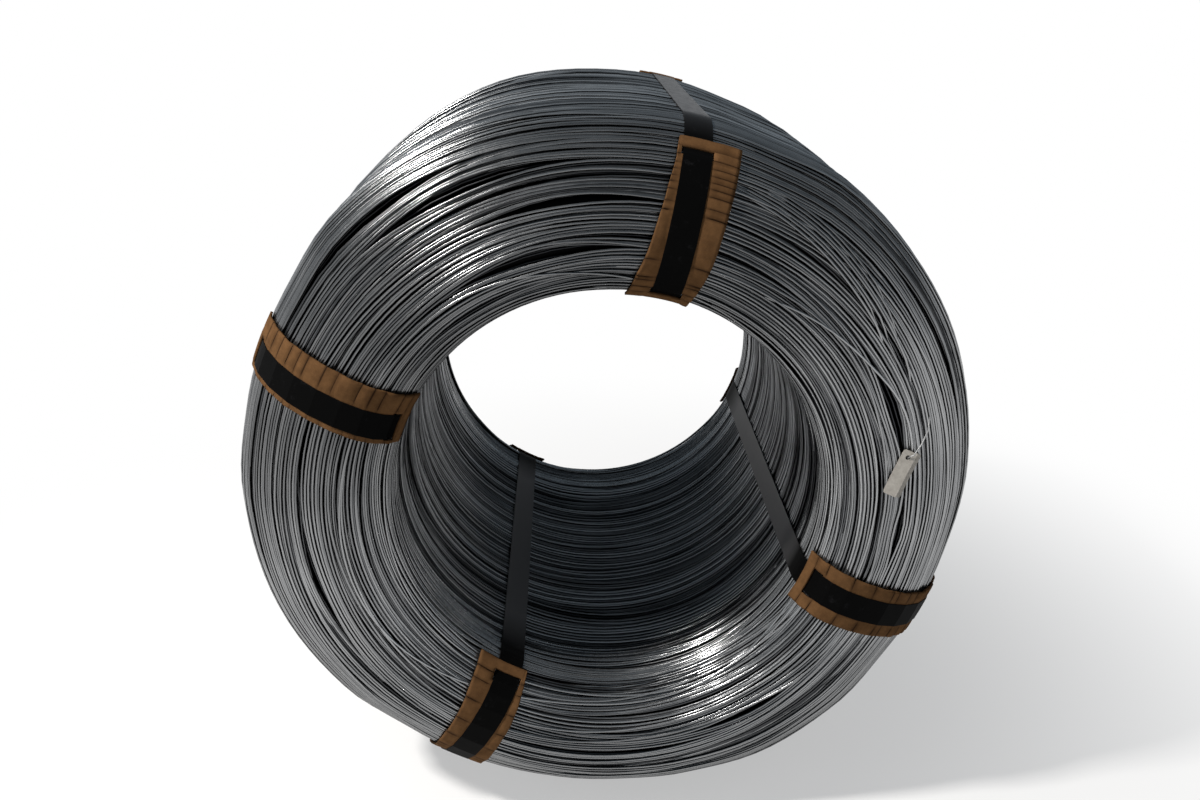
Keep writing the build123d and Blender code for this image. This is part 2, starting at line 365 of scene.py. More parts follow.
# %% Large gaps between bundles
crown, back_crown = stops[2], section_len - stops[2]
wall_start, wall_middle = stops[3], section_len / 2
gaps = [(crown + 0.0305, 69, 0.0080, 9), (crown + 0.026, 95, 0.0050, 5), (crown + 0.100, -24, 0.0085, 15),
        (crown + 0.130, -38, 0.0070, 12), (crown + 0.003, -14, 0.0065, 14), (crown + 0.055, -8, 0.0045, 12),
        (crown + 0.012, 146, 0.0050, 12), (crown + 0.080, 155, 0.0050, 16), (crown + 0.046, -106, 0.0042, 12),
        (crown + 0.125, 62, 0.0050, 12), (crown - 0.030, 330, 0.0034, 14),
        (back_crown - 0.060, 40, 0.0050, 18), (back_crown - 0.110, 160, 0.0050, 20),
        (back_crown - 0.020, 250, 0.0045, 16),
        (wall_middle + 0.05, 60, 0.0040, 26), (wall_middle - 0.11, 320, 0.0050, 30),
        (wall_middle + 0.13, 240, 0.0040, 24), (wall_start + 0.016, 2, 0.0080, 34),
        (wall_start + 0.050, -14, 0.0090, 36), (wall_start + 0.088, 10, 0.0090, 36),
        (wall_start + 0.140, -8, 0.0100, 36), (wall_start + 0.200, 12, 0.0100, 36)]
gap_reach = 0.014


def step_aside(phi, along):
    """Moves the lines apart at every large gap, each to the side on which it passes."""
    moved = along.copy()
    for place, clock, width, spread in gaps:
        turn = np.degrees(turn_from(phi, clock))
        near = np.exp(-(turn / spread) ** 2)
        off = ((along - place) * near).sum(1, keepdims=True) / near.sum()
        moved += np.sign(off) * width * near * np.exp(-np.abs(off) / gap_reach)
    return moved


print(len(gaps), "large gaps")

# %% [markdown]
# Every line becomes a closed tube of four to seven sides: a ring of points is set round each point of
# the line, square to it, and each ring is joined to the next. Two numbers are kept on the points for
# the finish: the tone of the turn, and how far the point faces out of the coil. A curve with a bevel
# would give the same shape, but its points don't carry such numbers, and arrays do all turns at once.

# %% From lines to wire
def shade_smooth(mesh):
    """Smooth shading on every face."""
    mesh.polygons.foreach_set("use_smooth", np.ones(len(mesh.polygons), bool))


def tube(centre, normal, sides):
    """Closed tubes along rows of points: their points, their faces and how far each point faces outwards."""
    tangent = np.roll(centre, -1, 1) - np.roll(centre, 1, 1)
    tangent /= np.linalg.norm(tangent, axis=-1, keepdims=True)
    normal = normal - (normal * tangent).sum(-1, keepdims=True) * tangent
    normal /= np.linalg.norm(normal, axis=-1, keepdims=True)
    across = np.cross(tangent, normal)[:, :, None]
    ring = 2 * math.pi * np.arange(sides)[:, None] / sides
    points = centre[:, :, None] + wire_d / 2 * (np.cos(ring) * normal[:, :, None] + np.sin(ring) * across)
    index = np.arange(points[..., 0].size).reshape(points.shape[:3])
    ahead = np.roll(index, -1, 1)
    quads = np.stack([index, np.roll(index, -1, 2), np.roll(ahead, -1, 2), ahead], -1)
    return points.reshape(-1, 3), quads.reshape(-1, 4), np.tile(np.cos(ring)[:, 0], centre[..., 0].size)


print("wire of", wire_d * 1000, "mm")

# %% From wire to a piece
def turns(name, phi, along, down, tone, sides, proud=0.0, parted=True):
    """One piece of wound wire, a closed tube for every line."""
    along = step_aside(phi, along) if parted else along
    rho, y, out, end = section(along)
    rise = swell(phi, out) + proud * between_straps(phi) - down - wire_d / 2
    rho, y = rho + out * rise, y + end * rise
    centre = np.stack([rho * np.sin(phi), y, axis_z + rho * np.cos(phi)], -1)
    normal = np.stack([out * np.sin(phi), end, out * np.cos(phi)], -1)
    points, quads, facing = tube(centre, normal, sides)
    mesh = bpy.data.meshes.new(name)
    mesh.from_pydata(points, [], quads)
    for key, values in (("tone", np.repeat(tone, len(phi) * sides)), ("rubbed", facing)):
        mesh.attributes.new(key, "FLOAT", "POINT").data.foreach_set("value", values)
    shade_smooth(mesh)
    ob = put(name, mesh)
    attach(ob, "root")
    print(name, len(along), "turns,", 2 * len(quads), "triangles")
    return ob


print("pieces of wire ride the root")

# %% [markdown]
# The turns that show, with a second layer below them and a third below that, which are seen in the
# gaps. The front end is nearest to the eye, so its turns have the most sides and steps. The bore's
# turns lie further apart. The lower layers are plainer, because only slits of them show.

# %% The turns that show
end_lap, bore_lap = 0.05, 0.04
second, third = 0.0030, 0.0066
front = (stops[1] - end_lap, stops[3])
rear = (section_len - stops[3], section_len - stops[1] + end_lap)
wall = (stops[3], section_len - stops[3])
bore = (bore_lap - stops[1], stops[1] - bore_lap)
front_and_wall = (front[0], wall[1])
rear_and_bore = (rear[0], section_len + front[0])
wire_pieces = [
    turns("turns_front_end", *bundles(*front, cover=1.12, wander=0.0044, dip=0.0030, steps=112,
                                      close=1.0, wide=1.45, uneven=0.0014), sides=7),
    turns("turns_back_end", *bundles(*rear, cover=1.12, wander=0.0044, dip=0.0022, steps=96), sides=6),
    turns("turns_outer", *bundles(*wall, cover=1.04, wander=0.0034, dip=0.0034, steps=96,
                                  close=1.1, wide=1.8, uneven=0.0016), sides=6),
    turns("turns_bore", *bundles(*bore, cover=1.0, wander=0.0026, dip=0.0020, steps=80,
                                 close=1.35, wide=2.5, uneven=0.0018), sides=6),
    turns("turns_second_front", *bundles(*front_and_wall, cover=1.04, wander=0.0036, dip=0.0016, steps=80,
                                         depth=second), sides=5),
    turns("turns_second_back", *bundles(*rear_and_bore, cover=1.0, wander=0.0030, dip=0.0016, steps=72,
                                        depth=second), sides=5, parted=False),
    turns("turns_under_front", *bundles(*front_and_wall, cover=0.9, wander=0.0030, dip=0.0012, steps=64,
                                        depth=third), sides=4, parted=False),
    turns("turns_under_back", *bundles(*rear, cover=0.9, wander=0.0025, dip=0.0012, steps=64,
                                       depth=third), sides=4, parted=False),
]

# %% [markdown]
# Single turns that came loose lie across their neighbours. They sway further than a bundle and stand
# one wire proud, except under the straps. One of them slants right across the front end, and beside
# the top pad a flat bundle of seven crosses the other way. Where they have to end, they dive below
# the others, each at its own place, as a real turn does.

# %% Loose turns
side_by_side, sunk = 1.3 * wire_d, 0.008
stay_turn, home_by = 20, 340
rise_after, rise_turn, dive_turn = 7, 12, 4


def loose(count, first, last, sway):
    """Lines of single turns that sway widely."""
    phi = np.linspace(0, 2 * math.pi, 120, endpoint=False)
    along = rng.uniform(first, last, (count, 1)) + waves(phi, sway, count)
    return phi, along, np.zeros_like(along), rng.uniform(0.3, 1, count)


def slanting(start, stop, first, last, count=1):
    """Turns side by side that cross the end between two clock angles and come back underneath."""
    phi = np.linspace(0, 2 * math.pi, 160, endpoint=False)
    clock = np.degrees(phi)
    go = np.clip((clock - start) / (stop - start), 0, 1)
    home = np.clip((clock - stop - stay_turn) / (home_by - stop - stay_turn), 0, 1)
    along = first + (last - first) * (1 - (1 - go) ** 1.6 - home * home * (3 - 2 * home))
    own = waves(phi, 0.0006 * min(count - 1, 1), count)
    along = along + side_by_side * np.arange(count)[:, None] + own
    dive = stop - 1 - rng.uniform(0, 3.0, (count, 1)) * (count - 1)
    risen = np.clip((clock - start - rise_after) / rise_turn, 0, 1)
    shown = np.clip((dive - clock) / dive_turn, 0, 1) * risen
    return phi, along, sunk * (1 - shown), np.linspace(0.9, 0.5, count)


wire_pieces += [
    turns("loose_turns_front", *loose(9, front[0] + 0.03, front[1] - 0.02, sway=0.009), sides=6, proud=0.0016),
    turns("loose_turns_back", *loose(9, rear[0] + 0.02, rear[1] - 0.03, sway=0.009), sides=6, proud=0.0016),
    turns("loose_turns_outer", *loose(8, wall[0] + 0.03, wall[1] - 0.03, sway=0.007), sides=6, proud=0.0014),
    turns("slanting_turn", *slanting(20, 82, crown - 0.025, crown + 0.038), sides=6, proud=0.0030),
    turns("slanting_bundle", *slanting(8, 68, crown + 0.105, crown + 0.048, count=7), sides=6, proud=0.0030),
]

# %% [markdown]
# Below the turns that show, the coil is a mass of more wire, dark with painted shade. It is one body, a
# little smaller than the solid, and stands for the imported wound body. Its section is drawn once and spun round
# the axis.

# %% The dark inside of the coil
core_sink = 0.0125
bm = bmesh.new()
rho, y, out, end = section(np.linspace(0, section_len, 90, endpoint=False))
ring = [bm.verts.new((0, b - e * core_sink, axis_z + a - o * core_sink)) for a, b, o, e in zip(rho, y, out, end)]
edges = [bm.edges.new(pair) for pair in zip(ring, ring[1:] + ring[:1])]
bmesh.ops.spin(bm, geom=ring + edges, cent=middle, axis=(0, 1, 0), angle=2 * math.pi, steps=96, use_merge=True)
bmesh.ops.remove_doubles(bm, verts=bm.verts, dist=1e-5)
bmesh.ops.recalc_face_normals(bm, faces=bm.faces)
core_mesh = mesh_from(bm, "coil_core")
shade_smooth(core_mesh)
core = put("coil_core", core_mesh)
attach(core, "root")
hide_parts("wire_coil")
print("core", len(core_mesh.polygons), "faces")

# %% [markdown]
# Finishes. The wire is bare drawn steel: grey, a little blue, with a dull sheen, and each turn a
# little lighter or darker than the next. The side of each wire that faces out of the coil keeps its
# grey, and the sides towards the neighbouring turns are darkened with painted shade, so every wire
# shows as a light line between two dark ones. The two numbers kept on the mesh give that. No wire is
# quite straight, and a soft bump along it, with its own place for each turn, breaks the bright patches
# up into glints.

# %% Where shade is painted on the wire's ends
def near_ends(tree, place, start, full):
    """0 in the middle of the coil's length, 1 nearer to an end than full."""
    from_middle = maths(tree, "ABSOLUTE", add(tree, "ShaderNodeSeparateXYZ", {0: place}).outputs["Y"])
    return ramp(tree, from_middle, low=half_len - start, high=half_len - full)


def from_axis(tree, place):
    """The way from the coil's axis out to a place."""
    return vector_maths(tree, "MULTIPLY_ADD", place, (1, 0, 1), (0, 0, -axis_z))


def painted_end_shade(tree, place):
    """Less than 1 on the ends, as painted shade: high up towards the left, and low by the floor."""
    way = add(tree, "ShaderNodeSeparateXYZ", {0: place})
    height = way.outputs["Z"]
    upper = maths(tree, "MULTIPLY_ADD", way.outputs["X"], -0.35, height)
    upper = ramp(tree, upper, low=axis_z, high=axis_z + 0.25, stop=0.48, soft=True)
    lower = ramp(tree, height, low=axis_z - 0.10, high=axis_z - 0.36, stop=0.30, soft=True)
    darker = maths(tree, "ADD", upper, lower)
    darker = maths(tree, "MULTIPLY", darker, near_ends(tree, place, start=0.13, full=0.05))
    return maths(tree, "SUBTRACT", 1.0, darker)


print("tarnish on the ends")

# %% Wire finish
turns_apart = 60


def steel(name, dark, light, rough, cloudy=0.8, darkest=0.25, lightest=1.5):
    """Metal whose grey runs from dark to light by turn, cloudy along the wire, with painted shade between the
    turns and on the ends.
    """
    mat = bpy.data.materials.new(name)
    t = node_tree(mat)
    tone = add(t, "ShaderNodeAttribute", attribute_name="tone").outputs["Fac"]
    rubbed = add(t, "ShaderNodeAttribute", attribute_name="rubbed").outputs["Fac"]
    place = own_place(t)
    cloud = noise(t, place, scale=16.0, detail=3.0)
    fleck = noise(t, place, scale=130.0, detail=2.0)
    share = ramp(t, maths(t, "MULTIPLY_ADD", cloud, cloudy, tone), low=darkest, high=lightest)
    grey = mix(t, share, dark, light)
    # Painted shade: the sides of each wire that turn away from the outside of the coil are darkened, as shade
    # between the turns.
    painted_gap_shade = ramp(t, rubbed, low=-0.10, high=0.82, start=0.06, soft=True)
    grey = mix(t, 1.0, grey, painted_gap_shade, "MULTIPLY")
    # Painted shade on the ends: darker high up towards the left and low by the floor.
    grey = mix(t, 1.0, grey, painted_end_shade(t, place), "MULTIPLY")
    dull = ramp(t, fleck, start=rough - 0.06, stop=rough + 0.06)
    clock_way = vector_maths(t, "NORMALIZE", from_axis(t, place))
    own_turn = add(t, "ShaderNodeCombineXYZ", {"Y": tone}).outputs[0]
    wavy_at = vector_maths(t, "MULTIPLY_ADD", own_turn, (0, turns_apart, 0), clock_way)
    wavy = noise(t, wavy_at, scale=3.0, detail=1.5)
    bump = add(t, "ShaderNodeBump", {"Height": wavy, "Strength": 1.0, "Distance": 0.012}).outputs[0]
    surface(t, {"Base Color": grey, "Metallic": 0.9, "Roughness": dull, "Normal": bump})
    return mat


print("glints change from turn to turn")

# %% [markdown]
# The layers differ in how light they are. The ends are rubbed and light; the layers below them and the
# turns in the bore get darker copies of the finish, as painted shade. In the bore and on the outside,
# light and dark turns differ more than on the ends.

# %% A finish for every layer
wire_finish = steel("drawn_wire", (0.12, 0.124, 0.130, 1), (0.44, 0.445, 0.45, 1), rough=0.26)
# Painted shade: darker copies of the wire finish for the deepest layer and the core here, and below for the second
# layer and for the bore.
shaded_finish = steel("wire_in_shade", (0.012, 0.013, 0.015, 1), (0.12, 0.123, 0.13, 1), rough=0.40,
                      cloudy=0.3, darkest=0.3, lightest=1.1)
other_finish = {
    "second": steel("wire_below", (0.050, 0.052, 0.056, 1), (0.20, 0.204, 0.21, 1), rough=0.34),
    "under": shaded_finish,
    "bore": steel("wire_in_bore", (0.014, 0.015, 0.017, 1), (0.44, 0.448, 0.460, 1), rough=0.34,
                  cloudy=0.25, darkest=0.25, lightest=1.0),
    "outer": steel("wire_outside", (0.030, 0.033, 0.038, 1), (0.62, 0.627, 0.635, 1), rough=0.28,
                   cloudy=0.4, darkest=0.25, lightest=1.2),
}
for ob in wire_pieces:
    ob.data.materials.append(other_finish.get(ob.name.split("_")[1], wire_finish))
# The core's dark finish is painted shade.
core_mesh.materials.append(shaded_finish)
print("wire finish on", len(wire_pieces), "pieces")

# %% [markdown]
# The straps are flat steel strip with a black lacquer. It is rubbed dull and deep black over the pads.
# Away from the ends its colour is lifted to dark grey outside and to grey in the bore, as a painted sheen.
# Where a strap laps at the back end, a seal of zinc-coated sheet is crimped round both layers. These
# are the imported solids themselves, which are already the right shape, so they only get a better finish.

# %% Straps and seals
def lacquer():
    """Black paint on strip steel, with fine scuffs, and a painted sheen of lighter grey away from the ends."""
    mat = bpy.data.materials.new("black_lacquer")
    t = node_tree(mat)
    place = own_place(t)
    scuff = noise(t, place, scale=90.0, detail=6.0, roughness=0.7)
    worn = ramp(t, scuff, low=0.60, high=0.80)
    paint = mix(t, worn, (0.002, 0.002, 0.002, 1), (0.012, 0.012, 0.013, 1))
    on_ends = near_ends(t, place, start=0.15, full=0.07)
    radius = vector_maths(t, "LENGTH", from_axis(t, place))
    outside = ramp(t, radius, low=bore_r + 0.01, high=bore_r + 0.04)
    # Painted sheen: dark grey outside and lighter grey in the bore, standing in for the lacquer's grazing
    # reflection.
    painted_sheen = mix(t, outside, (0.105, 0.105, 0.11, 1), (0.022, 0.022, 0.024, 1))
    scuffed = ramp(t, scuff, start=0.20, stop=0.42)
    dull = maths(t, "MULTIPLY_ADD", on_ends, 0.25, scuffed)
    surface(t, {"Base Color": mix(t, on_ends, painted_sheen, paint), "Roughness": dull, "Specular IOR Level": 0.02})
    return mat


def zinc():
    """Zinc-coated sheet with its cloudy crystals."""
    mat = bpy.data.materials.new("zinc_sheet")
    t = node_tree(mat)
    crystal = add(t, "ShaderNodeTexVoronoi", {"Vector": own_place(t), "Scale": 240.0}).outputs["Color"]
    grey = mix(t, crystal, (0.13, 0.137, 0.143, 1), (0.27, 0.278, 0.285, 1))
    surface(t, {"Base Color": grey, "Metallic": 0.8, "Roughness": 0.42})
    return mat


def dress(node, mat):
    """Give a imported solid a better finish."""
    for s in frame["nodes"][node].material_slots:
        s.material = mat


black, plated = lacquer(), zinc()
for side in strap_angles:
    dress("strap_" + side, black)
    dress("seal_" + side, plated)
print("straps and seals dressed")

# %% [markdown]
# The pads are cut from corrugated card boxes. Pulled down over the rounded ends by the straps, the
# card breaks into creases right across, and beside the strap it puffs up between them. Each pad
# starts as a flat grid, finer at its creases. The two slots are cut out of it, it is laid over the
# end, and it is given its thickness. Distances along a pad start at the crown of the end, and run
# outwards.

# %% Layout of a pad
pad_half, card_thick, pad_gap = 0.033, 0.003, 0.0001
strap_half, slot_half, strip_low = 0.016, 0.018, 0.001
slot_long, slot_edge = 0.014, 0.002
pad_in, slot_start = math.radians(-68) * inner_shoulder, math.radians(-56) * inner_shoulder
slot_in = (slot_start, slot_start + slot_long)
inner_panel, outer_panel = math.radians(19.4), math.radians(13.0)


def outer_ends(degrees):
    """Where a pad ends on the outer shoulder, and where its outer slot starts and ends."""
    last = math.radians(degrees - 5) * outer_shoulder
    return math.radians(degrees) * outer_shoulder, (last - slot_long, last)


def on_end(along, across, lift, clock, side):
    """The place of a card point: along from the crown, across from the strap, lifted off the turns."""
    shoulder, panel = (inner_shoulder, inner_panel) if along < 0 else (outer_shoulder, outer_panel)
    turn = along / shoulder
    reach = (shoulder + lift) / math.cos(turn - round(turn / panel) * panel)
    rho = crown_r + reach * math.sin(turn)
    y = side * (half_len - shoulder + reach * math.cos(turn))
    out = math.sqrt(rho * rho - across * across)
    c, s = math.cos(clock), math.sin(clock)
    return Vector((out * s + across * c, y, axis_z + out * c - across * s))


print("pads start", round(-pad_in * 1000, 1), "mm inside the crown")

# %% [markdown]
# Between two creases the card arches up like a shallow vault, but only beside the strap, which holds
# the middle down. At the two ends, beyond the slots, a strip of card lies over the strap.

# %% Shape of a pad
crease_half, full_arch, past_end = 0.0015, 0.018, 0.004
strip_from, strip_to = strap_half + 0.0015, strap_half + 0.005
puff_from, puff_to = strap_half + 0.0006, strap_half + 0.009


def smooth(low, high, x):
    """0 below low, 1 above high, and a smooth step between them."""
    t = min(1.0, max(0.0, (x - low) / (high - low)))
    return t * t * (3 - 2 * t)


def card_lift(along, across, creases, puffs, pad_out, slot_out):
    """Height of the underside of the card over the turns, and how dark the nearest crease is: broken paper and
    painted shade.
    """
    beside = abs(across)
    lift = pad_gap
    if along < slot_in[0] or along > slot_out[1]:
        lift += (strip_low - pad_gap) * (1 - smooth(strip_from, strip_to, beside))
    k = int(np.searchsorted(creases, along))
    before = creases[k - 1] if k > 0 else pad_in - past_end
    after = creases[k] if k < len(creases) else pad_out + past_end
    t = (along - before) / (after - before)
    arch = 4 * t * (1 - t) * min(1.0, (after - before) / full_arch)
    free = smooth(puff_from, puff_to, beside)
    lift += puffs[k][0 if across < 0 else 1] * arch * free
    # The crease lines are partly broken paper and partly painted shade, darker where the card puffs up.
    fold = max(math.exp(-((along - c) / crease_half) ** 2) for c in creases)
    return lift, fold * (0.35 + 0.65 * free)


print("creases", 2000 * crease_half, "mm wide")

# %% [markdown]
# A grid made by create_grid runs from -0.5 to 0.5 both ways, so a point's own x and y tell its row and
# its column. The rows lie closer together at a crease, and one lies at each end of a slot. The columns
# go from the left edge to the slot, across the slot, and on to the right edge, so a slot is cut by
# deleting whole faces.

# %% Grid of a pad
pad_rows, edge_cols, mid_cols = 54, 6, 12
cols = 2 * edge_cols + mid_cols
crease_row, snug = 0.0016, 1e-5


def rows_of_pad(creases, pad_out, slot_out):
    """The distances along a pad at which its grid has a row."""
    rows = [pad_in, *slot_in, *slot_out, pad_out, *np.linspace(pad_in, pad_out, pad_rows)]
    rows = np.concatenate([rows, creases - crease_row, creases, creases + crease_row])
    rows = np.unique(np.round(rows, 5))
    return rows[(rows >= round(pad_in, 5)) & (rows <= round(pad_out, 5))]


def across_pad(col, along, ragged, shift, skew, half):
    """How far a column is from the middle of the strap, on a pad that may lie askew."""
    shoulder = inner_shoulder if along < 0 else outer_shoulder
    slant = math.tan(skew) * (crown_r - bore_r) * math.sin(along / shoulder)
    left = min(shift + slant - half - ragged[0], -slot_half - slot_edge)
    right = max(shift + slant + half + ragged[1], slot_half + slot_edge)
    marks, places = [0, edge_cols, cols - edge_cols, cols], [left, -slot_half, slot_half, right]
    return float(np.interp(col, marks, places))


def in_slot(face, slot, laid):
    """Whether a face of the card lies in a slot."""
    return all(slot[0] - snug <= laid[v][0] <= slot[1] + snug and abs(laid[v][1]) <= slot_half + snug
               for v in face.verts)


print("pads have", cols, "columns")

# %% Build a pad
ragged_edge = 0.0005


def thicken(ob, thickness, offset):
    """Gives a sheet its thickness."""
    sheet = ob.modifiers.new("thickness", "SOLIDIFY")
    sheet.thickness = thickness
    sheet.offset = offset


def card_pad(name, clock, side, creases, shift=0.0, skew=0.0, puff=0.0022, ends_at=78, half=pad_half):
    """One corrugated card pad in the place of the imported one."""
    creases = np.array(creases)
    pad_out, slot_out = outer_ends(ends_at)
    rows = rows_of_pad(creases, pad_out, slot_out)
    puffs = puff * rng.uniform(0.25, 1.0, (len(creases) + 1, 2))
    ragged = waves(np.linspace(0, 2 * math.pi, len(rows)), ragged_edge, 2)
    bm = bmesh.new()
    uv = bm.loops.layers.uv.new("card")
    dark = bm.verts.layers.float.new("fold")
    bmesh.ops.create_grid(bm, x_segments=len(rows) - 1, y_segments=cols, size=0.5)
    laid = {}
    for v in bm.verts:
        i, j = round((v.co.x + 0.5) * (len(rows) - 1)), round((v.co.y + 0.5) * cols)
        along = float(rows[i])
        across = across_pad(j, along, ragged[:, i], shift, skew, half)
        lift, v[dark] = card_lift(along, across, creases, puffs, pad_out, slot_out)
        laid[v] = (along, across)
        v.co = on_end(along, across, lift, clock, side)
    for f in bm.faces:
        for loop in f.loops:
            loop[uv].uv = laid[loop.vert]
    cut = [f for f in bm.faces if in_slot(f, slot_in, laid) or in_slot(f, slot_out, laid)]
    bmesh.ops.delete(bm, geom=cut, context="FACES")
    bmesh.ops.recalc_face_normals(bm, faces=bm.faces)
    if sum(f.normal.y for f in bm.faces) * side < 0:
        bmesh.ops.reverse_faces(bm, faces=bm.faces)
    mesh = mesh_from(bm, name)
    shade_smooth(mesh)
    ob = put(name, mesh)
    thicken(ob, card_thick, 1.0)
    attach(ob, "root")
    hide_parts(name.replace("card", "pad"))
    print(name, len(mesh.polygons), "faces")
    return ob


# %% [markdown]
# On the front end the creases are about where they are on the real pads, and three pads sit a
# little askew or off the middle of their strap. The top one is wider, shorter and more puffed up. The
# pads on the back end are like them, with creases at random.

# %% Pads on both ends
clock = {name: math.radians(a) for name, a in strap_angles.items()}
front_creases = {
    "top": (-0.055, -0.043, -0.031, -0.027, -0.007, 0.046, 0.055, 0.068, 0.076, 0.083, 0.091, 0.099, 0.109, 0.122),
    "right": (-0.056, -0.040, -0.008, 0.020, 0.046, 0.056, 0.075, 0.092, 0.110, 0.124, 0.137, 0.148, 0.162),
    "bottom": (-0.050, -0.036, -0.012, 0.018, 0.050, 0.085, 0.095, 0.118, 0.134, 0.140, 0.158),
    "left": (-0.058, -0.045, -0.022, -0.010, 0.004, 0.031, 0.046, 0.070, 0.081, 0.096, 0.113, 0.130, 0.150),
}
front_lie = {
    "top": dict(shift=0.0035, skew=math.radians(11), puff=0.0028, ends_at=58, half=0.035),
    "right": {},
    "bottom": dict(shift=0.004, skew=math.radians(-6.5)),
    "left": dict(shift=0.011),
}
pads = [card_pad("front_card_" + name, angle, -1, front_creases[name], **front_lie[name])
        for name, angle in clock.items()]
last_crease = 0.168
for name, angle in clock.items():
    creases = np.cumsum(rng.uniform(0.011, 0.030, 14)) + pad_in
    pads.append(card_pad("back_card_" + name, angle, 1, creases[creases < last_crease]))
print("pads:", [ob.name for ob in pads])

# %% [markdown]
# The card is brown kraft paper: fibres, faint ribs of the corrugation below, dirt, and creases that
# are dark partly where the paper has broken and partly with painted shade in the fold. The pattern lies
# on the card's own flat layout, a UV map in metres, so that it follows the bends. The creases come from a
# number kept on the mesh.

# %% Card finish
def kraft():
    """Worn brown corrugated card."""
    mat = bpy.data.materials.new("kraft_card")
    t = node_tree(mat)
    flat = add(t, "ShaderNodeUVMap", uv_map="card").outputs["UV"]
    fold = add(t, "ShaderNodeAttribute", attribute_name="fold").outputs["Fac"]
    fibre = noise(t, flat, scale=900.0, detail=4.0)
    dirt = noise(t, flat, scale=55.0, detail=5.0, roughness=0.65)
    wave = {"Vector": flat, "Scale": 48.0, "Distortion": 0.6, "Detail": 1.0}
    ribs = add(t, "ShaderNodeTexWave", wave).outputs["Fac"]
    brown = mix(t, dirt, (0.030, 0.015, 0.007, 1), (0.175, 0.090, 0.038, 1))
    brown = mix(t, 1.0, brown, ramp(t, fibre, start=0.80, stop=1.2), "MULTIPLY")
    # Crease lines: broken paper and painted shade in the fold.
    brown = mix(t, fold, brown, (0.010, 0.005, 0.003, 1))
    relief = maths(t, "MULTIPLY_ADD", ribs, 0.5, fibre)
    bump = add(t, "ShaderNodeBump", {"Height": relief, "Strength": 0.35, "Distance": 0.0006}).outputs[0]
    surface(t, {"Base Color": brown, "Roughness": 0.85, "Specular IOR Level": 0.02, "Normal": bump})
    return mat


card = kraft()
for ob in pads:
    ob.data.materials.append(card)
print("card finish on", len(pads), "pads")

# %% [markdown]
# The tag is a strip of dull sheet, bent down along one side and out again to a lip, with a hole for
# the tie wire near its upper end. Nothing is written on it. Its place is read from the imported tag: the
# long way, the way to its left and the way off the turns. A grid is laid along the folded section,
# and Solidify gives the sheet its thickness.

# %% Place of the tag
spots = np.array([v.co for v in frame["nodes"]["id_tag"].data.vertices])
ways = np.linalg.svd(spots - spots.mean(0), full_matrices=False)[2]
long_way, off = Vector(ways[0]), Vector(ways[2])
long_way = long_way if long_way.z > 0 else -long_way
off = off if off.y < 0 else -off
left_way = off.cross(long_way)
tag_ways = (long_way, left_way, off)
reach = [spots @ np.array(way) for way in tag_ways]
tag_long = float(np.ptp(reach[0]))
tag_middle = sum((way * float((r.max() + r.min()) / 2) for way, r in zip(tag_ways, reach)), Vector())
more_lean = math.radians(9)
long_way, left_way = (long_way * math.cos(more_lean) - left_way * math.sin(more_lean),
                      left_way * math.cos(more_lean) + long_way * math.sin(more_lean))


def by_tag(up, left, lift):
    """A place given from the middle of the tag."""
    return tag_middle + long_way * up + left_way * left + off * lift


print("tag", round(tag_long, 3), "m long")

# %% [markdown]
# The folded section is a line of six points, in millimetres: how far along the sheet, how far to the
# left, how high. The rows and columns of the grid are set so that a few of its faces make the hole.

# %% Folded tag
sheet_at = np.array([0, 17, 17.8, 22.2, 23, 29.5]) / 1000
sheet_left = np.array([9.5, -6.0, -6.6, -7.4, -8.1, -14.5]) / 1000
sheet_lift = np.array([-0.4, 4.2, 3.9, -0.4, -0.8, 0.0]) / 1000
sheet_wide = float(sheet_at[-1])
sheet_thick, corner_r, tag_curl = 0.0007, 0.0025, 0.0010
hole_up, hole_at, hole_r = tag_long / 2 - 0.008, 0.0085, 0.0026
hole_lines = hole_r * np.array([-1, -0.4, 0.4, 1])
hole_round, same = 0.72, 1e-6
ends = tag_long / 2 - np.array([0, 0.0005, 0.0012, corner_r])
rows = np.unique(np.concatenate([ends, -ends, np.linspace(-0.022, 0.012, 9), hole_up + hole_lines]))
tag_cols = np.unique(np.concatenate([sheet_at, [0.0025, 0.014, 0.020, 0.0255], hole_at + hole_lines]))


def folded(at):
    """How far left and how high the folded sheet is, at a distance along its section."""
    return float(np.interp(at, sheet_at, sheet_left)), float(np.interp(at, sheet_at, sheet_lift))


bm = bmesh.new()
bmesh.ops.create_grid(bm, x_segments=len(rows) - 1, y_segments=len(tag_cols) - 1, size=0.5)
from_hole = {}
for v in bm.verts:
    up = float(rows[round((v.co.x + 0.5) * (len(rows) - 1))])
    at = float(tag_cols[round((v.co.y + 0.5) * (len(tag_cols) - 1))])
    from_hole[v] = (up - hole_up, at - hole_at)
    if all(abs(abs(d) - hole_r) < same for d in from_hole[v]):
        up, at = hole_up + hole_round * from_hole[v][0], hole_at + hole_round * from_hole[v][1]
    corner = max(0.0, (abs(up) - (tag_long / 2 - corner_r)) / corner_r)
    trim = corner_r * (1 - math.sqrt(1 - min(1.0, corner) ** 2))
    left, lift = folded(min(max(at, trim), sheet_wide - trim))
    v.co = by_tag(up, left, lift + tag_curl * (up / tag_long * 2) ** 2)
hole = [f for f in bm.faces if all(max(abs(d) for d in from_hole[v]) < hole_r + same for v in f.verts)]
bmesh.ops.delete(bm, geom=hole, context="FACES")
tag_mesh = mesh_from(bm, "folded_tag")
tag = put("folded_tag", tag_mesh)
thicken(tag, sheet_thick, 0.0)
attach(tag, "root")
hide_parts("id_tag")
print("tag of", len(tag_mesh.polygons), "faces")

# %% [markdown]
# The tie is one short piece of thin wire, hooked through the hole and running up between the turns.
# A disc is pulled from point to point and turned a little at each, which makes a round bent wire. It
# takes the finish of the other wire, lighter and duller.

